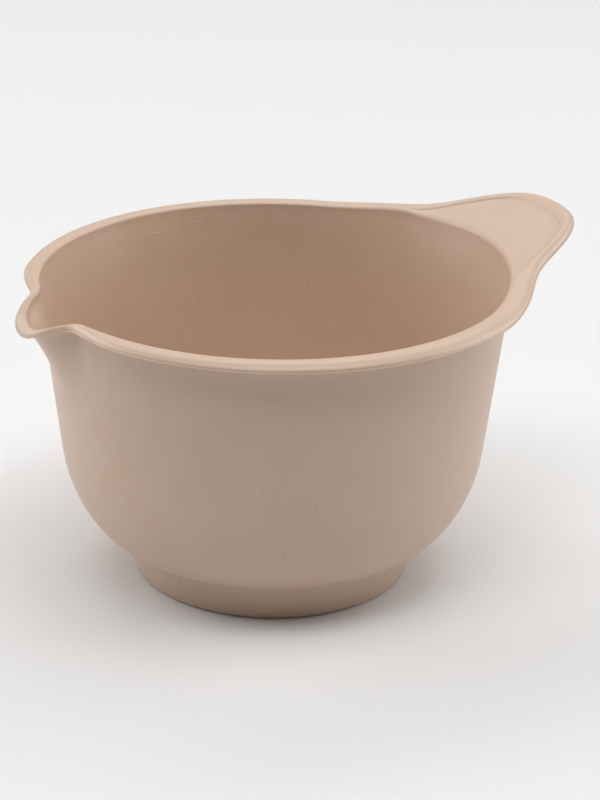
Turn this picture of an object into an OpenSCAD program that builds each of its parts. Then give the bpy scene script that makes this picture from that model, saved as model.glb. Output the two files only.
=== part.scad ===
// Mixing bowl with a raised rim bead, an ear-shaped handle, a pouring spout
// opposite it and a conical foot collar that holds a rubber non-slip ring.
// The origin is on the bowl's axis at the level the bowl stands on.
// +Z is up, +X points to the handle and the spout points to -X. Millimetres.

/* [Bowl] */
// Diameter of the opening at the inner edge of the rim
opening_d = 198; // [150:1:260]
// Height of the rim's inner edge above the floor
bowl_h = 131.7; // [110:0.1:170]
// Thickness of the wall
wall = 2; // [1.6:0.1:3]
// Lean of the straight upper wall away from upright, in degrees
draft = 7.1; // [3:0.1:10]
// Height above the floor where the straight wall starts to curve in
curve_h = 58; // [45:1:70]
// How much the wall thins towards the rim
mouth_flare = 0.8; // [0:0.1:1]
// Height over which it thins
mouth_flare_h = 20; // [10:1:30]
// Width of the rounded edge between the inside wall and the rim
edge_w = 0.6; // [0.3:0.1:1.5]

/* [Rim] */
// Width of the rim bead on the spout's half, from the inner edge outwards
bead_w_spout = 6; // [4:0.1:9]
// Width of the rim bead where it reaches the handle
bead_w_handle = 9.6; // [6:0.1:12]
// Height of the bead's crown above the inner edge
bead_up = 0.9; // [0.7:0.1:2.5]
// Where the crown lies across the bead, as a share of the bead's width
crown_at = 0.44; // [0.3:0.01:0.6]
// Roundness of the rim from the inside wall to the crown, 1 for a true quarter ellipse
roundness = 0.55; // [0.4:0.05:1]
// Depth of the bead's outer face below the inner edge on the spout's half
bead_down_spout = 1.5; // [1:0.1:3]
// Depth of the bead's outer face below the inner edge at the handle
bead_down_handle = 2.2; // [1.5:0.1:4]
// Width of the thin ledge round the bead's lower edge
ledge_w = 0.5; // [0.3:0.1:1]

/* [Handle] */
// How far the handle reaches out past the bead
handle_reach = 28; // [20:1:40]
// Half angle over which the handle spreads, in degrees
handle_spread = 18.8; // [14:0.2:24]
// Squareness of the handle's outline
handle_square = 2.9; // [2:0.1:4]
// Width of the bead along the handle's sides
handle_bead_w = 5.6; // [4:0.1:8]
// Width of the bead at the handle's tip
tip_bead_w = 8.8; // [5:0.1:11]
// Half angle over which the bead is wide at the tip, in degrees
tip_spread = 11; // [6:1:14]
// Height of the small step from the handle's plate up to its bead
step_up = 0.6; // [0.2:0.1:0.6]
// Slope the rim climbs to along the handle
handle_slope = 0.36; // [0:0.01:0.5]
// Where the rim starts to climb, as a share of the opening's radius
handle_root = 0.64; // [0.5:0.01:0.9]
// Length over which the climb gets steeper
handle_sweep = 40; // [10:1:60]
// Radius of the soft edge between the handle's top and the inside wall
soft_edge = 3; // [1.5:0.5:5]

/* [Spout] */
// How far the spout reaches out past the rim's inner edge
spout_reach = 11.3; // [6:0.1:16]
// Half angle over which the spout spreads, in degrees
spout_spread = 12; // [8:0.5:15]
// How far the lip dips below the rim
spout_dip = 8.5; // [0:0.5:12]
// Half angle over which the lip dips, in degrees
dip_spread = 9.3; // [6:0.1:14]
// Height over which the wall swells into the spout
spout_h = 40; // [25:1:60]
// How far the rim is pinched in on each side of the spout
pinch = 2.5; // [0:0.1:4]
// Angle from the spout's middle to the middle of each pinch
pinch_at = 12.6; // [10:0.1:20]
// Half angle of each pinch
pinch_spread = 3.7; // [2:0.1:6]
// Width of the bead round the spout
lip_w = 2.6; // [2.2:0.1:5]
// Half angle over which the bead is narrow, in degrees
lip_spread = 22; // [12:1:30]

/* [Foot] */
// Diameter of the foot collar where it stands
foot_d = 117.6; // [90:0.2:150]
// Diameter of the foot collar where it meets the wall
collar_d = 129.2; // [100:0.2:160]
// Height of the foot collar
foot_h = 17; // [12:0.5:24]
// Width of the foot's underside
foot_w = 6.6; // [5:0.1:9]
// Radius of the flat middle of the inside floor
floor_flat_r = 30; // [10:1:40]

/* [Non-slip ring] */
// Width of the rubber ring
ring_w = 3; // [2:0.1:4]
// Depth of the groove the ring sits in
groove_deep = 2.6; // [1.5:0.1:4]
// How far the ring stands out below the foot
ring_proud = 0.6; // [0.3:0.1:1.5]
// Gap between the ring and the walls and roof of its groove
ring_gap = 0.15; // [0.1:0.05:0.3]

/* [Hidden] */

rim_r = opening_d / 2;
rim_z = bowl_h;
foot_z = ring_proud;
collar_r = collar_d / 2;
foot_r = foot_d / 2;
foot_in_r = foot_r - foot_w;
ring_mid_r = foot_r - foot_w / 2;
groove_w = ring_w + 2 * ring_gap;
// The straight wall meets the bead's underside just outside the inner edge.
wall_top_r = rim_r + wall - mouth_flare - edge_w;
// Slope angle of the wall's curve where it leaves the foot collar.
curve_start = 2;
// Height of the rounded edge between the inside wall and the rim.
edge_h = 1;
// How deep the handle's plate lies below the bead's inner edge.
plate_low = 0.3;
// Width of the small step from the plate up to the bead.
step_w = 0.55;
// Angle where the handle's close sections end, and the widest step between sections, in degrees.
side_start = 39;
facet_step = 6.2;
// Smallest width left for the rows of the handle's plate where there is no handle.
plate_rows_min = 0.3;
// Colour of the moulding and of the rubber ring.
shell_colour = [0.72, 0.60, 0.51];
ring_colour = [0.42, 0.36, 0.32];

// A value part of the way from p to q.
function mix(p, q, t) = p + (q - p) * t;

// ---- shapes along the angle round the axis, 0 at the handle ----

// Angle from the spout's middle.
function off_spout(a) = 180 - abs(a);
// One at the middle of a bump, falling to nothing at its spread.
function bump(x, spread, square) = exp(-pow(abs(x) / spread, square));
function handle_bump(a) = bump(a, handle_spread, handle_square);
function spout_bump(a) = bump(off_spout(a), spout_spread, 2.7);
function dip_bump(a) = bump(off_spout(a), dip_spread, 2.3);
function pinch_bump(a) = bump(off_spout(a) - pinch_at, pinch_spread, 2);
// One at the handle, nothing at the spout: the bead grows towards the handle.
function toward_handle(a) = pow((1 + cos(a)) / 2, 0.4);
function bead_down(a) = mix(bead_down_spout, bead_down_handle, toward_handle(a));
// Width of the bead along a radius, before the handle's slant.
function even_bead(a) = mix(bead_w_spout, bead_w_handle, toward_handle(a));
function bead_width(a) = mix(even_bead(a), lip_w, bump(off_spout(a), lip_spread, 4));
// Swell of the wall at full height: out at the spout, in at the pinches.
function swell(a) = spout_reach * spout_bump(a) - pinch * pinch_bump(a);
function inner_r(a) = rim_r + swell(a);
function outer_r(a) = inner_r(a) + bead_width(a) + plate_rows_min + handle_reach * handle_bump(a);
// Slant of the outline against the circle, which widens the bead along the radius.
function slant(a) = (outer_r(a + 0.5) - outer_r(a - 0.5)) / (outer_r(a) * PI / 180);
function handle_share(a) = min(1, handle_reach * handle_bump(a) / 12);
// Along the handle the bead's width is measured square to its sides, and it is wider at the tip.
function side_bead(a) = handle_bead_w * sqrt(1 + pow(slant(a), 2));
function handle_bead(a) = mix(side_bead(a), tip_bead_w, bump(a, tip_spread, 2));
function bead_along(a) = mix(bead_width(a), handle_bead(a), handle_share(a));
function bead_in_r(a) = max(outer_r(a) - bead_along(a), inner_r(a) + plate_rows_min);
// Width of the handle's plate along the radius, and how soft its inner edge is.
function plate_w(a) = bead_in_r(a) - inner_r(a);
function softness(a) = 1 - exp(-(plate_w(a) - plate_rows_min) / 6);
function edge_r(a) = mix(edge_h, soft_edge, softness(a));
function sunk(a) = plate_low * softness(a);
// Nothing on the plain rim and one on the handle: which of the two profiles the rim has.
function flatness(a) = 1 - exp(-pow((plate_w(a) - plate_rows_min) / 2, 2));
// Height of the rim's plane at a radius and angle: level, dipped at the spout, rising along the handle.
function rise(r, a) = let(u = max(0, r * cos(a) - handle_root * rim_r))
    handle_slope * u * u / (u + handle_sweep);
function lip_z(a) = rim_z - spout_dip * dip_bump(a);
function top_z(r, a) = lip_z(a) + rise(r, a);

// ---- the wall ----

function wall_r(z) = wall_top_r - (rim_z - z) * tan(draft);
function share_up(z, a, h) = max(0, (z - (lip_z(a) - h)) / h);
function flare(z, a) = mouth_flare * pow(min(1, share_up(z, a, mouth_flare_h)), 2);
function outside_r(z, a) = wall_r(z) + swell(a) * pow(share_up(z, a, spout_h), 2.2);
function inside_r(z, a) = outside_r(z, a) - wall + flare(z, a);
// Curve from the collar up to the straight wall, as a cubic through two slopes.
bend_low = [collar_r, foot_z + foot_h];
bend_high = [wall_r(curve_h), curve_h];
bend_low_pull = bend_low + 0.27 * (bend_high[0] - bend_low[0]) * [cos(curve_start), sin(curve_start)];
bend_high_pull = bend_high - 0.64 * (bend_high[1] - bend_low[1]) * [sin(draft), cos(draft)];
function bend(t) = let(
    a = mix(bend_low, bend_low_pull, t),
    b = mix(bend_low_pull, bend_high_pull, t),
    c = mix(bend_high_pull, bend_high, t))
    mix(mix(a, b, t), mix(b, c, t), t);
function bend_way(t) = let(d = bend(t + 0.001) - bend(t - 0.001)) d / norm(d);
// The same curve moved in by the wall's thickness.
function bend_in(t) = let(w = bend_way(t)) bend(t) + wall * [-w[1], w[0]];
// Inside floor: flat in the middle, then rising to the curve at the same slope.
floor_r = bend_in(0)[0];
floor_rise = tan(curve_start) * (floor_r - floor_flat_r) / 2;
floor_z = bend_in(0)[1] - floor_rise;
function floor_at(r) = floor_z + floor_rise * pow(max(0, r - floor_flat_r) / (floor_r - floor_flat_r), 2);

// ---- one section through the bowl at an angle, from the inside's middle to the underside's ----

floor_steps = [0.25, 0.46, 0.64, 0.82];
bend_steps = [for (i = [0:6]) i / 6];
wall_steps = [0.22, 0.42, 0.6, 0.74, 0.85, 0.93];
// Nine rows from the inside wall to the crown, four from the crown down to the ledge.
edge_turns = [30, 60, 90];
plate_steps = [0.5, 1];
rise_steps = [0.1, 0.3, 0.6, 1];
round_turns = [for (i = [1:9]) 10 * i];
over_turns = [25, 50, 72, 90];

function wall_z(f, a) = mix(curve_h, top_z(rim_r, a) - edge_r(a), f);
function under_z(f, a) = mix(curve_h, top_z(rim_r, a) - bead_down(a) - ledge_w, f);

function inside_rows(a) = concat(
    [for (s = floor_steps) [floor_r * s, floor_at(floor_r * s)]],
    [for (t = bend_steps) bend_in(t)],
    [for (f = concat(wall_steps, [1])) [inside_r(wall_z(f, a), a), wall_z(f, a)]]);

// Where the rim's profile starts, where the handle's edge ends, and the bead's foot, crown and outer face.
function start_r(a) = inside_r(wall_z(1, a), a);
function edge_end_r(a) = inner_r(a) + 0.1 + 0.4 * soft_edge * softness(a);
function bead_start_r(a) = max(bead_in_r(a), edge_end_r(a) + plate_rows_min);
function crown_end_r(a) = outer_r(a) - ledge_w;
function crown_r(a) = mix(bead_start_r(a), crown_end_r(a), crown_at);

// Along the handle: a soft edge, a plate, a small step and the bead's gentle rise.
function step_rise(r, a) = step_up * pow(sin(90 * min(1, (r - bead_start_r(a)) / step_w)), 2);
function bead_rise(c, a) = (bead_up + sunk(a) - step_up) * pow(sin(90 * c), 1.4);
function handle_rows(a) = let(
    e = edge_r(a),
    r0 = start_r(a),
    r1 = edge_end_r(a),
    r2 = bead_start_r(a))
    concat(
        [for (q = edge_turns) let(r = mix(r0, r1, 1 - cos(q))) [r, top_z(r, a) - sunk(a) - e * (1 - sin(q))]],
        [for (s = plate_steps) let(r = mix(r1, r2, s)) [r, top_z(r, a) - sunk(a)]],
        [for (c = rise_steps) let(r = mix(r2, crown_r(a), c))
            [r, top_z(r, a) - sunk(a) + step_rise(r, a) + bead_rise(c, a)]]);

// Elsewhere: one full round from the inside wall to the crown, a quarter of a squarish ellipse.
function round_rows(a) = let(
    r0 = start_r(a),
    z0 = top_z(r0, a) - edge_r(a),
    z1 = top_z(crown_r(a), a) + bead_up)
    [for (q = round_turns)
        [mix(r0, crown_r(a), 1 - pow(cos(q), roundness)), mix(z0, z1, pow(sin(q), roundness))]];

function rim_rows(a) = let(
    plain = round_rows(a),
    shaped = handle_rows(a),
    f = flatness(a))
    [for (i = [0:len(plain) - 1]) mix(plain[i], shaped[i], f)];

// From the crown over to the ledge: a quarter of an ellipse, then the ledge itself.
function over_rows(a) = let(
    down = bead_down(a),
    out = outer_r(a),
    ledge_z = top_z(out, a) - down)
    concat(
        [for (q = over_turns) let(r = mix(crown_r(a), crown_end_r(a), pow(sin(q), 1.2)))
            [r, top_z(q < 90 ? r : out, a) + bead_up - (bead_up + down) * (1 - pow(cos(q), 1.2))]],
        [[out, ledge_z]],
        [[out, ledge_z - ledge_w]]);

function under_rows(a) = let(
    r0 = outer_r(a) - 2.5 * ledge_w,
    r1 = outside_r(under_z(1, a), a) + 1)
    [for (s = [0, 0.5, 1]) let(r = mix(r0, r1, s)) [r, top_z(r, a) - bead_down(a) - ledge_w]];

function outside_rows(a) = concat(
    [for (i = [len(wall_steps) - 1:-1:0]) let(z = under_z(wall_steps[i], a)) [outside_r(z, a), z]],
    [for (i = [len(bend_steps) - 1:-1:0]) bend(bend_steps[i])]);

// The groove's outer wall is made of flats and the ring is round, so the wall's corners lie further
// out: the middle of its widest flat then still leaves the whole gap.
groove_in_r = ring_mid_r - groove_w / 2;
groove_out_r = (ring_mid_r + groove_w / 2) / cos(facet_step / 2);
ceiling_z = floor_z - wall;
foot_rows = [
    [foot_r, foot_z + 0.6],
    [foot_r - 0.6, foot_z],
    [groove_out_r, foot_z],
    [groove_out_r, foot_z + groove_deep],
    [groove_in_r, foot_z + groove_deep],
    [groove_in_r, foot_z],
    [foot_in_r + 0.6, foot_z],
    [foot_in_r, foot_z + 0.6],
    [foot_in_r - 0.5, ceiling_z - 1],
    [foot_in_r - 1.5, ceiling_z],
    [foot_in_r / 2, ceiling_z]];

function section(a) = concat(inside_rows(a), rim_rows(a), over_rows(a),
    under_rows(a), outside_rows(a), foot_rows);

// ---- angles: close together at the handle and the spout, wider between ----

side_end = side_start + 19 * facet_step;
half_angles = concat(
    [for (i = [0:12]) side_start * i / 12],
    [for (i = [1:19]) side_start + facet_step * i],
    [for (i = [1:11]) mix(side_end, 180, i / 12)]);
angles = concat(
    [for (a = half_angles) a],
    [180],
    [for (i = [len(half_angles) - 1:-1:1]) -half_angles[i]]);

// The shell is a grid of sections joined into one closed skin.
module bowl_shell() {
    rings = [for (a = angles) section(a)];
    rows = len(rings[0]);
    turns = len(angles);
    grid = [for (j = [0:turns - 1]) for (p = rings[j]) [p[0] * cos(angles[j]), p[0] * sin(angles[j]), p[1]]];
    inside_pole = len(grid);
    under_pole = inside_pole + 1;
    points = concat(grid, [[0, 0, floor_z]], [[0, 0, ceiling_z]]);
    faces = concat(
        [for (j = [0:turns - 1]) for (i = [0:rows - 2]) let(
            k = (j + 1) % turns,
            a = j * rows + i,
            b = k * rows + i,
            c = b + 1,
            d = a + 1)
            each (angles[j] >= 0 && angles[j] < 180 ? [[a, b, c], [a, c, d]] : [[a, b, d], [b, c, d]])],
        [for (j = [0:turns - 1]) let(k = (j + 1) % turns) [inside_pole, k * rows, j * rows]],
        [for (j = [0:turns - 1]) let(k = (j + 1) % turns)
            [under_pole, j * rows + rows - 1, k * rows + rows - 1]]);
    color(shell_colour)
        polyhedron(points = points, faces = faces, convexity = 8);
}

// The rubber ring fills its groove and carries the bowl's weight.
module non_slip_ring() {
    color(ring_colour)
        rotate_extrude($fn = 96)
            polygon([
                [ring_mid_r - ring_w / 2, 0.4],
                [ring_mid_r - ring_w / 2 + 0.4, 0],
                [ring_mid_r + ring_w / 2 - 0.4, 0],
                [ring_mid_r + ring_w / 2, 0.4],
                [ring_mid_r + ring_w / 2, foot_z + groove_deep - ring_gap],
                [ring_mid_r - ring_w / 2, foot_z + groove_deep - ring_gap]]);
}

bowl_shell();
non_slip_ring();
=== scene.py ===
import math
import bpy
import numpy as np
from mathutils import Matrix, Vector


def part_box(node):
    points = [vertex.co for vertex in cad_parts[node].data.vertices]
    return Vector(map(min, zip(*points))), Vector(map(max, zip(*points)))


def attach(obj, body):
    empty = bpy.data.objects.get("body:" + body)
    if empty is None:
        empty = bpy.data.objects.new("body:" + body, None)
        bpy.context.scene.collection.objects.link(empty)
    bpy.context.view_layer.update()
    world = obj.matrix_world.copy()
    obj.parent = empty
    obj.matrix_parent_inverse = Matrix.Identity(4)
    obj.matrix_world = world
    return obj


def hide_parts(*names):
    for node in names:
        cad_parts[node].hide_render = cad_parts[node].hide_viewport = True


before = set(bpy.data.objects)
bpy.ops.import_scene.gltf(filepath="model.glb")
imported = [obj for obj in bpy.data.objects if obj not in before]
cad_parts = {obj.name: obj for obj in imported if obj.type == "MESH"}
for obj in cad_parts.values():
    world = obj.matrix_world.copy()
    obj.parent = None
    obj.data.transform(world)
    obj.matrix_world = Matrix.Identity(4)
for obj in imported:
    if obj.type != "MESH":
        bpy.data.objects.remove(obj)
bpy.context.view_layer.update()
mm = 0.001
sharpFrom = 38   # degrees between faces, past which an edge is drawn sharp
shellLow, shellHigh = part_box("bowl_shell")
ringLow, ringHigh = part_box("non_slip_ring")
print("frame loaded:", sorted(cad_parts))

# ---- helpers shared by the pieces ----


def mix(p, q, t):
    # the value a share t of the way from p to q
    return p + (q - p) * t


def bump(x, spread, power):
    # one in the middle, falling to nothing at the spread: e to the minus (|x| / spread) to the power
    return np.exp(-(np.abs(x) / spread) ** power)


def steps(count, first=0.0, last=1.0):
    # evenly spaced shares as a column, so that they combine with a row of angles
    return np.linspace(first, last, count)[:, None]


def roundCorner(before, corner, after, radius, count=4):
    # a quadratic curve that cuts a corner off: corner + toBefore * (1 - t)^2 + toAfter * t^2
    def leg(end):
        dr, dz = end[0] - corner[0], end[1] - corner[1]
        length = np.hypot(dr, dz)
        return dr / length * radius, dz / length * radius
    b, c, t = leg(before), leg(after), steps(count)
    return (corner[0] + b[0] * (1 - t) ** 2 + c[0] * t ** 2,
            corner[1] + b[1] * (1 - t) ** 2 + c[1] * t ** 2)


def stackRows(strips, columns):
    # joins strips of a section into one array of radii and one of heights, a row each
    shapes = [np.broadcast_shapes(np.shape(r), np.shape(z), (1, columns)) for r, z in strips]
    radii = [np.broadcast_to(r, shape) for (r, z), shape in zip(strips, shapes)]
    heights = [np.broadcast_to(z, shape) for (r, z), shape in zip(strips, shapes)]
    return np.vstack(radii), np.vstack(heights)


def turnedPoints(radii, heights, angles):
    # x = r cos a, y = r sin a, z = height, from millimetres to metres
    a = np.radians(angles)[None, :]
    grid = np.stack([radii * np.cos(a), radii * np.sin(a), heights + 0 * a], axis=-1)
    return grid.reshape(-1, 3) * mm


def turnedFaces(rows, columns, closeSection=False):
    # one four-sided face between neighbouring rows and columns; the columns close on themselves
    i = np.arange(rows if closeSection else rows - 1)[:, None]
    j = np.arange(columns)[None, :]
    row, down, across = i * columns, (i + 1) % rows * columns, (j + 1) % columns
    faces = np.stack([row + j, row + across, down + across, down + j], axis=-1)
    return faces.reshape(-1, 4)


def meshPiece(name, points, faces, material, smooth=True):
    mesh = bpy.data.meshes.new(name)
    mesh.from_pydata(points.tolist(), [], [list(map(int, f)) for f in faces])
    mesh.materials.append(material)
    mesh.polygons.foreach_set("use_smooth", np.full(len(mesh.polygons), smooth))
    if smooth:
        mesh.set_sharp_from_angle(angle=math.radians(sharpFrom))
    mesh.update()
    piece = bpy.data.objects.new(name, mesh)
    bpy.context.scene.collection.objects.link(piece)
    return piece


def insideOutVolume(points, faces):
    # the volume inside a closed skin, as the sum of tetrahedra to the origin; below nothing means inside out
    total = 0.0
    for f in (faces[:, [0, 1, 2]], faces[:, [0, 2, 3]]) if faces.shape[1] == 4 else (faces,):
        a, b, c = points[f[:, 0]], points[f[:, 1]], points[f[:, 2]]
        total += float(np.einsum("ij,ij->", a, np.cross(b, c))) / 6
    return total


# ---- node helpers ----


def newMaterial(name):
    material = bpy.data.materials.new(name)
    material.use_nodes = True
    tree = material.node_tree
    shader = tree.nodes["Principled BSDF"]
    return material, tree, shader


def addNode(tree, kind, inputs=None, **settings):
    node = tree.nodes.new(kind)
    for key, value in settings.items():
        setattr(node, key, value)
    for key, value in (inputs or {}).items():
        if isinstance(value, bpy.types.NodeSocket):
            tree.links.new(value, node.inputs[key])
        else:
            node.inputs[key].default_value = value
    return node


def noise(tree, where, scale, detail=2.0, roughness=0.5, distortion=0.0):
    inputs = {"Vector": where, "Scale": scale, "Detail": detail, "Roughness": roughness,
              "Distortion": distortion}
    return addNode(tree, "ShaderNodeTexNoise", inputs).outputs["Fac"]


def remap(tree, value, low, high, toLow=0.0, toHigh=1.0, smoothly=True):
    return addNode(tree, "ShaderNodeMapRange", {"Value": value, "From Min": low, "From Max": high,
                                                "To Min": toLow, "To Max": toHigh},
                   interpolation_type="SMOOTHSTEP" if smoothly else "LINEAR").outputs["Result"]


def maths(tree, operation, a, b):
    return addNode(tree, "ShaderNodeMath", {0: a, 1: b}, operation=operation).outputs[0]


def mixColour(tree, share, a, b):
    return addNode(tree, "ShaderNodeMix", {0: share, 6: a, 7: b}, data_type="RGBA").outputs[2]


def flecks(tree, where, spacing, size, share):
    # irregular dots: one may sit in each cell of the given spacing, and only some cells have one
    cells = addNode(tree, "ShaderNodeTexVoronoi", {"Vector": where, "Scale": 1 / spacing, "Randomness": 1.0})
    split = addNode(tree, "ShaderNodeSeparateColor", {"Color": cells.outputs["Color"]})
    picked = remap(tree, split.outputs[0], 1 - share - 0.002, 1 - share + 0.002, smoothly=False)
    own = remap(tree, split.outputs[1], 0.0, 1.0, 0.45, 1.0, smoothly=False)
    reach = maths(tree, "MULTIPLY", own, size / spacing)
    inner = maths(tree, "MULTIPLY", reach, 0.45)
    dot = addNode(tree, "ShaderNodeMapRange", {"Value": cells.outputs["Distance"], "From Min": reach,
                                               "From Max": inner, "To Min": 0.0, "To Max": 1.0},
                  interpolation_type="SMOOTHSTEP").outputs["Result"]
    return maths(tree, "MULTIPLY", dot, picked)


# ---- camera and lights ----

cameraSetup = {
    "lens": 115.63,        # mm on a 36 mm sensor
    "away": 1.02016,       # m from the bowl's axis, along the floor
    "bearing": -114.562,   # degrees round the axis, from the handle
    "height": 0.48952,     # m above the floor
    "heading": 64.796,     # degrees, the way it looks
    "downTilt": 22.091,    # degrees below level
    "roll": 0.999,         # degrees
}


def placeCamera(setup):
    h, p, k = (math.radians(setup[key]) for key in ("heading", "downTilt", "roll"))
    forward = Vector((math.cos(p) * math.cos(h), math.cos(p) * math.sin(h), -math.sin(p)))
    levelRight = Vector((math.sin(h), -math.cos(h), 0))
    levelUp = levelRight.cross(forward)
    right = levelRight * math.cos(k) + levelUp * math.sin(k)
    up = levelUp * math.cos(k) - levelRight * math.sin(k)
    b = math.radians(setup["bearing"])
    spot = Vector((setup["away"] * math.cos(b), setup["away"] * math.sin(b), setup["height"]))
    data = bpy.data.cameras.new("studioCamera")
    data.lens, data.sensor_width, data.clip_end = setup["lens"], 36, 30
    camera = bpy.data.objects.new("studioCamera", data)
    camera.matrix_world = Matrix((right, up, -forward)).transposed().to_4x4()
    camera.location = spot
    bpy.context.scene.collection.objects.link(camera)
    bpy.context.scene.camera = camera


lightSetup = {
    # beside: to the camera's right, beyond: past the bowl, up: above the floor, all in metres
    "frontTop": {"beside": 0.0, "beyond": -0.8, "up": 2.0, "wide": 2.4, "deep": 1.0, "watts": 32.2},
    "midTop": {"beside": 0.0, "beyond": 0.3, "up": 2.0, "wide": 2.4, "deep": 1.2, "watts": 1.5},
    "backTop": {"beside": 0.0, "beyond": 1.6, "up": 2.0, "wide": 2.4, "deep": 1.4, "watts": 26.0},
    "leftBox": {"beside": -1.9, "beyond": 0.5, "up": 0.9, "wide": 1.6, "deep": 1.6, "watts": 24.1},
    "rightBox": {"beside": 1.9, "beyond": 0.5, "up": 0.9, "wide": 1.6, "deep": 1.6, "watts": 22.6},
    # how bright the room is overhead, towards the camera, beside the bowl and beyond it
    "air": {"top": 0.02, "front": 0.0, "sides": 0.02, "beyond": 0.40},
}


def placeLights(setup):
    h = math.radians(cameraSetup["heading"])
    beyond, beside = Vector((math.cos(h), math.sin(h), 0)), Vector((math.sin(h), -math.cos(h), 0))
    aim = Vector((0, 0, 0.08))
    for name in ("frontTop", "midTop", "backTop", "leftBox", "rightBox"):
        box = setup[name]
        data = bpy.data.lights.new(name, "AREA")
        data.shape, data.size, data.size_y, data.energy = "RECTANGLE", box["wide"], box["deep"], box["watts"]
        lamp = bpy.data.objects.new(name, data)
        lamp.location = beside * box["beside"] + beyond * box["beyond"] + Vector((0, 0, box["up"]))
        target = Vector((lamp.location.x, lamp.location.y, 0)) if name.endswith("Top") else aim
        lamp.rotation_euler = (target - lamp.location).to_track_quat("-Z", "Y").to_euler()
        bpy.context.scene.collection.objects.link(lamp)
    world = bpy.data.worlds.new("studioAir")
    world.use_nodes = True
    tree, air = world.node_tree, setup["air"]
    where = addNode(tree, "ShaderNodeTexCoord").outputs["Generated"]
    dot = addNode(tree, "ShaderNodeVectorMath", {0: where, 1: tuple(beyond)}, operation="DOT_PRODUCT")
    ahead = dot.outputs["Value"]
    lift = addNode(tree, "ShaderNodeSeparateXYZ", {"Vector": where}).outputs["Z"]
    level = air["sides"]
    for toward, low, high, part in ((ahead, 0.0, 0.8, "beyond"), (ahead, 0.0, -0.8, "front"),
                                    (lift, 0.35, 0.8, "top")):
        share = remap(tree, toward, low, high)
        level = addNode(tree, "ShaderNodeMix", {0: share, 2: level, 3: air[part]}).outputs[0]
    tree.links.new(level, tree.nodes["Background"].inputs["Strength"])
    tree.nodes["Background"].inputs["Color"].default_value = (1, 1, 1, 1)
    bpy.context.scene.world = world
    bpy.context.scene.view_settings.view_transform = "Standard"


placeCamera(cameraSetup)
placeLights(lightSetup)
print("camera and lights placed")

# ---- floor ----

studioFloor = {"half": 9.0, "colour": (0.76, 0.76, 0.76, 1), "roughness": 0.9, "glow": 0.02}


def makeFloor(setup):
    material, _, shader = newMaterial("paleFloor")
    shader.inputs["Base Color"].default_value = setup["colour"]
    shader.inputs["Roughness"].default_value = setup["roughness"]
    shader.inputs["Specular IOR Level"].default_value = 0.0
    shader.inputs["Emission Color"].default_value = (1, 1, 1, 1)
    shader.inputs["Emission Strength"].default_value = setup["glow"]
    s = setup["half"]
    floor = meshPiece("studio_floor", np.array([(-s, -s, 0), (s, -s, 0), (s, s, 0), (-s, s, 0)], float),
                      np.array([(0, 1, 2, 3)]), material, smooth=False)


makeFloor(studioFloor)
print("floor laid")

# ---- speckled plastic of the moulding ----

specklePlastic = {
    "base": (0.600, 0.437, 0.328, 1),
    "deep": (0.585, 0.419, 0.311, 1),
    "pale": (0.615, 0.455, 0.347, 1),
    "darkFleck": (0.16, 0.10, 0.065, 1),
    "softFleck": (0.46, 0.32, 0.235, 1),
    "paleFleck": (0.72, 0.59, 0.49, 1),
    "roughness": 0.42,
    "raggedness": 0.0009,   # m, how far a fleck's outline wanders
}


def makePlastic(look, name="specklePlastic"):
    material, tree, shader = newMaterial(name)
    where = addNode(tree, "ShaderNodeTexCoord").outputs["Object"]
    wander = addNode(tree, "ShaderNodeTexNoise", {"Vector": where, "Scale": 900.0, "Detail": 1.0})
    wobble = wander.outputs["Color"]
    shift = (look["raggedness"],) * 3
    bent = addNode(tree, "ShaderNodeVectorMath", {0: wobble, 1: shift}, operation="MULTIPLY").outputs[0]
    ragged = addNode(tree, "ShaderNodeVectorMath", {0: where, 1: bent}, operation="ADD").outputs[0]
    cloud = remap(tree, noise(tree, where, 16.0, 3.0, 0.55, 0.4), 0.3, 0.7)
    drift = remap(tree, noise(tree, where, 75.0, 3.0, 0.6), 0.32, 0.68)
    grain = noise(tree, where, 1400.0, 3.0, 0.6)
    colour = mixColour(tree, cloud, look["deep"], look["base"])
    colour = mixColour(tree, maths(tree, "MULTIPLY", drift, 0.5), colour, look["pale"])
    colour = mixColour(tree, remap(tree, grain, 0.35, 0.75, 0.0, 0.16), colour, look["deep"])
    soft = flecks(tree, ragged, 0.013, 0.0016, 0.45)
    pale = flecks(tree, ragged, 0.0074, 0.00055, 0.30)
    dark = flecks(tree, ragged, 0.0066, 0.00044, 0.20)
    colour = mixColour(tree, maths(tree, "MULTIPLY", soft, 0.45), colour, look["softFleck"])
    colour = mixColour(tree, maths(tree, "MULTIPLY", pale, 0.55), colour, look["paleFleck"])
    colour = mixColour(tree, maths(tree, "MULTIPLY", dark, 0.75), colour, look["darkFleck"])
    tree.links.new(colour, shader.inputs["Base Color"])
    fineRough = remap(tree, grain, 0.3, 0.7, look["roughness"] - 0.03, look["roughness"] + 0.03)
    rough = maths(tree, "ADD", fineRough, remap(tree, drift, 0.0, 1.0, -0.02, 0.02))
    tree.links.new(rough, shader.inputs["Roughness"])
    fine = addNode(tree, "ShaderNodeBump", {"Height": grain, "Strength": 0.10, "Distance": 0.00012})
    ripple = addNode(tree, "ShaderNodeBump", {"Height": noise(tree, where, 55.0, 2.0), "Strength": 0.25,
                                              "Distance": 0.0004, "Normal": fine.outputs["Normal"]})
    pit = addNode(tree, "ShaderNodeBump", {"Height": maths(tree, "ADD", pale, dark), "Strength": 0.25,
                                           "Distance": 0.00008, "Normal": ripple.outputs["Normal"]})
    tree.links.new(pit.outputs["Normal"], shader.inputs["Normal"])
    shader.inputs["Specular IOR Level"].default_value = 0.8
    return material


plastic = makePlastic(specklePlastic)
print("plastic mixed")

# ---- the bowl moulding ----

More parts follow.
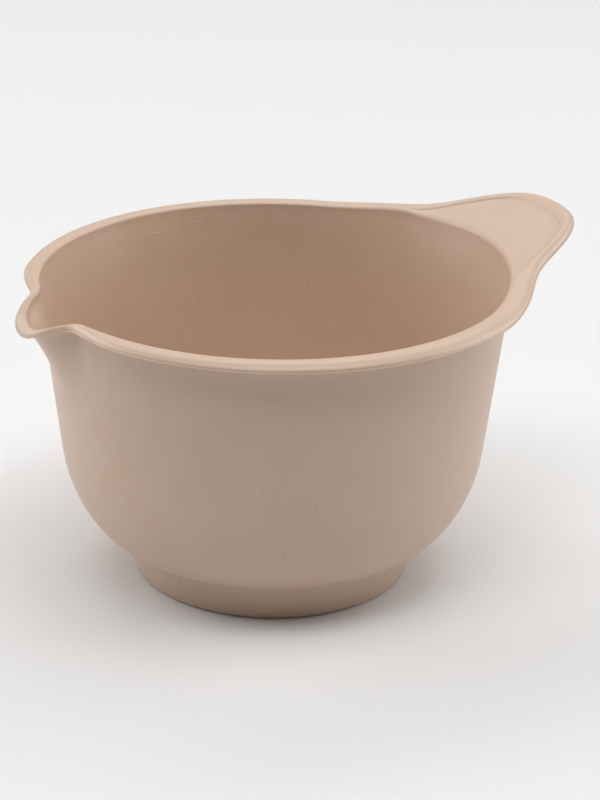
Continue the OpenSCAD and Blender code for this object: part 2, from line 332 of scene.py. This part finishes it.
bowl = {  # millimetres and degrees
    # wall
    "openingR": 99.0, "rimZ": 131.7, "wall": 2.0, "draft": 7.1, "curveZ": 58.0,
    "edgeW": 0.6, "edgeH": 1.0, "mouthFlare": 0.8, "mouthFlareH": 20.0,
    "curveLean": 2.0, "curveLow": 0.27, "curveHigh": 0.64,
    # rim bead
    "beadSpout": 6.0, "beadHandle": 9.6, "beadUp": 0.9, "crownAt": 0.44, "stepUp": 0.6, "stepWide": 0.55,
    "roundness": 0.55, "downSpout": 1.5, "downHandle": 2.2, "ledge": 0.5,
    # handle
    "handleReach": 28.0, "handleSpread": 18.8, "handleSquare": 2.9, "handleBead": 5.6,
    "tipBead": 8.8, "tipSpread": 11.0, "handleSlope": 0.36, "handleRoot": 0.64, "handleSweep": 40.0,
    "softEdge": 3.0, "plateLow": 0.3, "plateMin": 0.3,
    # spout
    "spoutReach": 11.3, "spoutSpread": 12.0, "spoutDip": 8.5, "dipSpread": 9.3, "spoutH": 40.0,
    "pinch": 2.5, "pinchAt": 12.6, "pinchSpread": 3.7, "lip": 2.6, "lipSpread": 22.0,
    # foot
    "footR": 58.8, "collarR": 64.6, "footH": 17.0, "footW": 6.6, "floorFlatR": 30.0,
    "grooveHalf": 1.65, "grooveDeep": 2.6,
    "columns": 580,
}
bowl["footZ"] = shellLow.z / mm
bowl["wallTopR"] = bowl["openingR"] + bowl["wall"] - bowl["mouthFlare"] - bowl["edgeW"]


def turnAngles(count):
    # angles packed closely at the handle and the spout: equal steps of the running sum of a density
    fine = np.linspace(-180, 180, 7201)
    density = 1 + 2.4 * bump(fine, 38, 4) + 3.0 * bump(180 - np.abs(fine), 25, 4)
    run = np.concatenate([[0], np.cumsum((density[1:] + density[:-1]) / 2)])
    return np.interp(np.arange(count) / count * run[-1], run, fine)


def offSpout(a):
    return 180 - np.abs(a)


def towardHandle(a):
    return ((1 + np.cos(np.radians(a))) / 2) ** 0.4


def handleBump(a):
    return bump(a, bowl["handleSpread"], bowl["handleSquare"])


def swell(a):
    # the wall's swell at full height: out at the spout, in at the pinch on each side of it
    out = bowl["spoutReach"] * bump(offSpout(a), bowl["spoutSpread"], 2.7)
    return out - bowl["pinch"] * bump(offSpout(a) - bowl["pinchAt"], bowl["pinchSpread"], 2)


def innerR(a):
    return bowl["openingR"] + swell(a)


def beadWidth(a):
    even = mix(bowl["beadSpout"], bowl["beadHandle"], towardHandle(a))
    return mix(even, bowl["lip"], bump(offSpout(a), bowl["lipSpread"], 4))


def outerR(a):
    return innerR(a) + beadWidth(a) + bowl["plateMin"] + bowl["handleReach"] * handleBump(a)


def beadInR(a):
    # the bead's inner foot: its width is measured square to the slanting outline along the handle
    slant = (outerR(a + 0.5) - outerR(a - 0.5)) / (outerR(a) * math.pi / 180)
    share = np.minimum(1, bowl["handleReach"] * handleBump(a) / 12)
    sides = mix(bowl["handleBead"] * np.sqrt(1 + slant ** 2), bowl["tipBead"], bump(a, bowl["tipSpread"], 2))
    along = mix(beadWidth(a), sides, share)
    return np.maximum(outerR(a) - along, innerR(a) + bowl["plateMin"])


def lipZ(a):
    # the inner edge's height: level, dipped at the spout
    return bowl["rimZ"] - bowl["spoutDip"] * bump(offSpout(a), bowl["dipSpread"], 2.3)


def topZ(r, a):
    # the rim's plane: level, dipped at the spout, climbing along the handle as slope u^2 / (u + sweep)
    u = np.maximum(0, r * np.cos(np.radians(a)) - bowl["handleRoot"] * bowl["openingR"])
    climb = bowl["handleSlope"] * u * u / (u + bowl["handleSweep"])
    return lipZ(a) + climb


def wallR(z):
    # the straight wall's outside, leaning out by the draft
    return bowl["wallTopR"] - (bowl["rimZ"] - z) * math.tan(math.radians(bowl["draft"]))


def shareUp(z, a, height):
    # nothing at the given height below the lip, one at the lip
    return np.maximum(0, (z - (lipZ(a) - height)) / height)


def outsideR(z, a):
    # the straight wall, and the swell growing over its top part as share^2.2
    return wallR(z) + swell(a) * shareUp(z, a, bowl["spoutH"]) ** 2.2


def insideR(z, a):
    # the wall's thickness in from the outside, thinning by the square of the height just below the rim
    up = shareUp(z, a, bowl["mouthFlareH"])
    return outsideR(z, a) - bowl["wall"] + bowl["mouthFlare"] * np.minimum(1, up) ** 2


def bend(t, inset=0.0):
    # the cubic curve from the foot collar to the straight wall, moved in square to itself by the inset
    low = np.array([bowl["collarR"], bowl["footZ"] + bowl["footH"]])
    high = np.array([wallR(bowl["curveZ"]), bowl["curveZ"]])
    start, lean = math.radians(bowl["curveLean"]), math.radians(bowl["draft"])
    lowPull = low + bowl["curveLow"] * (high[0] - low[0]) * np.array([math.cos(start), math.sin(start)])
    highPull = high - bowl["curveHigh"] * (high[1] - low[1]) * np.array([math.sin(lean), math.cos(lean)])
    at = [((1 - t) ** 3 * p + 3 * (1 - t) ** 2 * t * q + 3 * (1 - t) * t ** 2 * u + t ** 3 * v)
          for p, q, u, v in zip(low, lowPull, highPull, high)]
    way = [(3 * (1 - t) ** 2 * (q - p) + 6 * (1 - t) * t * (u - q) + 3 * t ** 2 * (v - u))
           for p, q, u, v in zip(low, lowPull, highPull, high)]
    length = np.hypot(way[0], way[1])
    return at[0] - inset * way[1] / length, at[1] + inset * way[0] / length


def bowlSection(a):
    # one section at each angle, from the middle of the inside floor over the rim to the middle underneath
    a = a[None, :]
    n = a.shape[1]
    floorR, bendZ = (float(v[0, 0]) for v in bend(np.array([[0.0]]), bowl["wall"]))
    rise = math.tan(math.radians(bowl["curveLean"])) * (floorR - bowl["floorFlatR"]) / 2
    floorZ = bendZ - rise
    floorSteps = steps(9, 0.08, 0.94) * floorR
    insideFloor = (floorSteps, floorZ + rise * (np.maximum(0, floorSteps - bowl["floorFlatR"])
                                                / (floorR - bowl["floorFlatR"])) ** 2)
    plateWide = beadInR(a) - innerR(a)
    softness = 1 - np.exp(-(plateWide - bowl["plateMin"]) / 6)
    edge = mix(bowl["edgeH"], bowl["softEdge"], softness)
    edgeOut = 0.1 + 0.4 * bowl["softEdge"] * softness
    sunk = bowl["plateLow"] * softness
    down = mix(bowl["downSpout"], bowl["downHandle"], towardHandle(a))
    rimAt = topZ(bowl["openingR"], a)
    out = outerR(a)
    crownEnd = out - bowl["ledge"]

    insideZ = mix(bowl["curveZ"], rimAt - edge, steps(20, 0.05, 1.0) ** 0.85)
    # along the handle: a soft edge, a plate, a small step and the bead's gentle rise
    edgeTurn = np.radians(steps(8, 11.0, 90.0))
    r0, r1 = insideR(rimAt - edge, a), innerR(a) + edgeOut
    beadStart = np.maximum(beadInR(a), r1 + bowl["plateMin"])
    crownR = beadStart + bowl["crownAt"] * (crownEnd - beadStart)
    edgeR, plateR = mix(r0, r1, 1 - np.cos(edgeTurn)), mix(r1, beadStart, steps(7, 0.14, 1.0))
    riseR = mix(beadStart, crownR, steps(10, 0.06, 1.0) ** 1.3)
    climb = (riseR - beadStart) / (crownR - beadStart)
    step = bowl["stepUp"] * np.sin(math.pi / 2 * np.minimum(1, (riseR - beadStart) / bowl["stepWide"])) ** 2
    rest = (bowl["beadUp"] + sunk - bowl["stepUp"]) * np.sin(math.pi / 2 * climb) ** 1.4
    handleR, handleZ = stackRows([(edgeR, topZ(edgeR, a) - sunk - edge * (1 - np.sin(edgeTurn))),
                                  (plateR, topZ(plateR, a) - sunk),
                                  (riseR, topZ(riseR, a) - sunk + step + rest)], n)
    # elsewhere: one full round from the inside wall over to the crown, a quarter of a squarish ellipse
    turn = np.radians(steps(25, 4.0, 90.0))
    roundR = mix(r0, crownR, 1 - np.cos(turn) ** bowl["roundness"])
    base = topZ(r0, a) - edge
    roundZ = mix(base, topZ(crownR, a) + bowl["beadUp"], np.sin(turn) ** bowl["roundness"])
    flat = 1 - np.exp(-((plateWide - bowl["plateMin"]) / 2.0) ** 2)
    inner = (mix(roundR, handleR, flat), mix(roundZ, handleZ, flat))
    # from the crown down to the ledge: a quarter of an ellipse
    turn = np.radians(steps(12, 7.0, 90.0))
    overR = mix(crownR, crownEnd, np.sin(turn) ** 1.2)
    over = (overR, topZ(overR, a) + bowl["beadUp"] - (bowl["beadUp"] + down) * (1 - np.cos(turn) ** 1.2))

    faceFoot = (crownEnd, topZ(out, a) - down)
    ledgeTop = (out + 0 * a, topZ(out, a) - down)
    ledgeLow = (out + 0 * a, topZ(out, a) - down - bowl["ledge"])
    underR = mix(out - 2.5 * bowl["ledge"], outsideR(rimAt - down - bowl["ledge"], a) + 1, steps(6))
    under = (underR, topZ(underR, a) - down - bowl["ledge"])

    outsideZ = mix(bowl["curveZ"], rimAt - down - bowl["ledge"], 1 - steps(20, 0.02, 0.96) ** 1.15)
    outside = (outsideR(outsideZ, a), outsideZ)

    # foot: a conical collar, a rounded underside with the ring's groove, and the recess inside it
    footZ, footR, footIn = bowl["footZ"], bowl["footR"], bowl["footR"] - bowl["footW"]
    grooveMid, grooveHalf = footR - bowl["footW"] / 2, bowl["grooveHalf"]
    grooveTop = footZ + bowl["grooveDeep"]
    ceiling = floorZ - bowl["wall"]
    corner = [(bowl["collarR"], footZ + bowl["footH"]), (footR, footZ), (grooveMid + grooveHalf, footZ),
              (grooveMid + grooveHalf, grooveTop), (grooveMid - grooveHalf, grooveTop),
              (grooveMid - grooveHalf, footZ), (footIn, footZ), (footIn - 1.0, ceiling), (0.0, ceiling)]
    radius = {1: 0.9, 2: 0.25, 3: 0.2, 4: 0.2, 5: 0.25, 6: 0.9, 7: 2.5}
    foot = [(mix(corner[0][0], corner[1][0], steps(8, 0.012, 0.9)),
             mix(corner[0][1], corner[1][1], steps(8, 0.012, 0.9)))]
    foot += [roundCorner(corner[k - 1], corner[k], corner[k + 1], radius[k]) for k in radius]
    foot += [(steps(9, (footIn - 4) / footIn, 0.08) * footIn, ceiling + 0 * steps(9))]

    strips = [insideFloor, bend(steps(15), bowl["wall"]), (insideR(insideZ, a), insideZ), inner, over,
              roundCorner(faceFoot, ledgeTop, ledgeLow, 0.16),
              roundCorner(ledgeTop, ledgeLow, (underR[:1], ledgeLow[1]), 0.16),
              under, outside, bend(steps(15, 1.0, 0.0))] + foot
    radii, heights = stackRows(strips, n)
    return radii, heights, floorZ, ceiling


def makeBowl(material):
    angles = turnAngles(bowl["columns"])
    radii, heights, floorZ, ceiling = bowlSection(angles)
    rows, columns = radii.shape
    points = turnedPoints(radii, heights, angles)
    quads = turnedFaces(rows, columns)
    middle, under = len(points), len(points) + 1
    points = np.vstack([points, [[0, 0, floorZ * mm], [0, 0, ceiling * mm]]])
    j = np.arange(columns)
    k = (j + 1) % columns
    last = (rows - 1) * columns
    capIn = np.stack([np.full(columns, middle), k, j], axis=-1)
    capUnder = np.stack([np.full(columns, under), last + j, last + k], axis=-1)
    volume = sum(insideOutVolume(points, part) for part in (quads, capIn, capUnder))
    if volume < 0:
        quads, capIn, capUnder = quads[:, ::-1], capIn[:, ::-1], capUnder[:, ::-1]
    piece = meshPiece("bowl_moulding", points, quads.tolist() + capIn.tolist() + capUnder.tolist(), material)
    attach(piece, "root")
    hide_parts("bowl_shell")
    print("bowl moulded:", rows, "rows,", columns, "columns,", round(abs(volume) * 1e6, 1), "ml of plastic")


makeBowl(plastic)

# ---- raised volume marks on the inside wall ----

volumeMarks = {
    # text, height and the line's length in mm
    "rows": [("2.5 L", 122.6, 10.0), ("2 L", 106.2, 5.5), ("1.5 L", 85.8, 10.0)],
    "lineFrom": 102.2,      # degrees round the axis, where each line starts
    "textFrom": 92.4,
    "textH": 6.0,
    "lineH": 0.55,
    "proud": 0.11,          # mm out of the wall
    "sunk": 0.15,
}


def layOnWall(flat, azimuth, height):
    # flat x runs round the wall to the right as seen from inside, flat y runs up it, flat z out of it
    z = height + flat[:, 1] * math.cos(math.radians(bowl["draft"]))
    inside = insideR(z, np.full(len(z), azimuth))
    a = math.radians(azimuth) - flat[:, 0] / inside
    r = inside - flat[:, 2]
    return np.stack([r * np.cos(a), r * np.sin(a), z], axis=-1) * mm


def makeMarks(material, setup):
    allPoints, allFaces, base = [], [], 0
    along, across = 17, 9   # points along and across each line
    for words, height, length in setup["rows"]:
        curve = bpy.data.curves.new("markText", "FONT")
        curve.body, curve.size = words, setup["textH"] / 0.7
        curve.extrude, curve.bevel_depth, curve.bevel_resolution = 0.12, 0.06, 1
        curve.resolution_u = 4
        text = bpy.data.objects.new("markText", curve)
        bpy.context.scene.collection.objects.link(text)
        bpy.context.view_layer.update()
        cut = text.to_mesh()
        flat = np.empty(len(cut.vertices) * 3)
        cut.vertices.foreach_get("co", flat)
        flat = flat.reshape(-1, 3)
        deep = [flat[:, 2].min(), flat[:, 2].max()]
        flat[:, 2] = np.interp(flat[:, 2], deep, [-setup["sunk"], setup["proud"]])
        allPoints.append(layOnWall(flat, setup["textFrom"], height - setup["lineH"]))
        allFaces += [[base + v for v in f.vertices] for f in cut.polygons]
        base += len(flat)
        text.to_mesh_clear()
        bpy.data.objects.remove(text)
        # the line: a low ridge with a rounded top, as a grid of length by width
        u, v = np.meshgrid(np.linspace(0, 1, along), np.linspace(-1, 1, across), indexing="ij")
        taper = np.sqrt(np.clip(1 - (np.abs(2 * u - 1) ** 12), 0, 1))
        dome = np.sqrt(np.clip(1 - v ** 4, 0, 1)) * taper
        lift = -setup["sunk"] + (setup["proud"] + setup["sunk"]) * dome
        ridge = np.stack([u * length, v * setup["lineH"] / 2, lift], axis=-1).reshape(-1, 3)
        allPoints.append(layOnWall(ridge, setup["lineFrom"], height))
        # the same grid laid flat underneath closes the ridge, and shares the points of its edge
        under = ridge.reshape(along, across, 3)[1:-1, 1:-1].reshape(-1, 3).copy()
        under[:, 2] = -setup["sunk"]
        allPoints.append(layOnWall(under, setup["lineFrom"], height))
        top = base + np.arange(len(ridge)).reshape(along, across)
        bottom = top.copy()
        bottom[1:-1, 1:-1] = base + len(ridge) + np.arange(len(under)).reshape(along - 2, across - 2)
        for grid in (top, bottom[:, ::-1]):
            quads = np.stack([grid[:-1, :-1], grid[1:, :-1], grid[1:, 1:], grid[:-1, 1:]], axis=-1)
            allFaces += quads.reshape(-1, 4).tolist()
        base += len(ridge) + len(under)
    piece = meshPiece("volume_marks", np.vstack(allPoints), allFaces, material, smooth=False)
    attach(piece, "root")
    print("volume marks raised:", [row[0] for row in setup["rows"]])


makeMarks(plastic, volumeMarks)

# ---- rubber ring under the foot ----

rubberRing = {"width": 3.0, "corner": 0.4, "columns": 240,
              "colour": (0.155, 0.118, 0.095, 1), "worn": (0.215, 0.170, 0.140, 1), "roughness": 0.72}


def makeRubber(look):
    material, tree, shader = newMaterial("footRubber")
    where = addNode(tree, "ShaderNodeTexCoord").outputs["Object"]
    grain = noise(tree, where, 1900.0, 3.0, 0.65)
    scuff = remap(tree, noise(tree, where, 130.0, 4.0, 0.6, 0.6), 0.48, 0.72)
    tree.links.new(mixColour(tree, scuff, look["colour"], look["worn"]), shader.inputs["Base Color"])
    tree.links.new(remap(tree, grain, 0.3, 0.7, look["roughness"] - 0.06, look["roughness"] + 0.08),
                   shader.inputs["Roughness"])
    tree.links.new(addNode(tree, "ShaderNodeBump", {"Height": grain, "Strength": 0.4, "Distance": 0.0002})
                   .outputs["Normal"], shader.inputs["Normal"])
    shader.inputs["Specular IOR Level"].default_value = 0.35
    return material


def makeRing(material):
    # the ring's rounded section carried round the axis
    angles = np.arange(rubberRing["columns"]) / rubberRing["columns"] * 360
    low, high, out = ringLow.z / mm, ringHigh.z / mm, ringHigh.x / mm
    inn = out - rubberRing["width"]
    corner = [(inn, low), (out, low), (out, high), (inn, high)]
    size = [rubberRing["corner"], rubberRing["corner"], 0.15, 0.15]
    strips = [roundCorner(corner[k - 1], corner[k], corner[(k + 1) % 4], size[k], 5) for k in range(4)]
    radii, heights = stackRows(strips, len(angles))
    points = turnedPoints(radii, heights, angles)
    faces = turnedFaces(*radii.shape, closeSection=True)
    if insideOutVolume(points, faces) < 0:
        faces = faces[:, ::-1]
    piece = meshPiece("rubber_ring", points, faces, material)
    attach(piece, "root")
    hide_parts("non_slip_ring")
    print("rubber ring fitted")


makeRing(makeRubber(rubberRing))

# ---- end of the build ----

print("scene built")
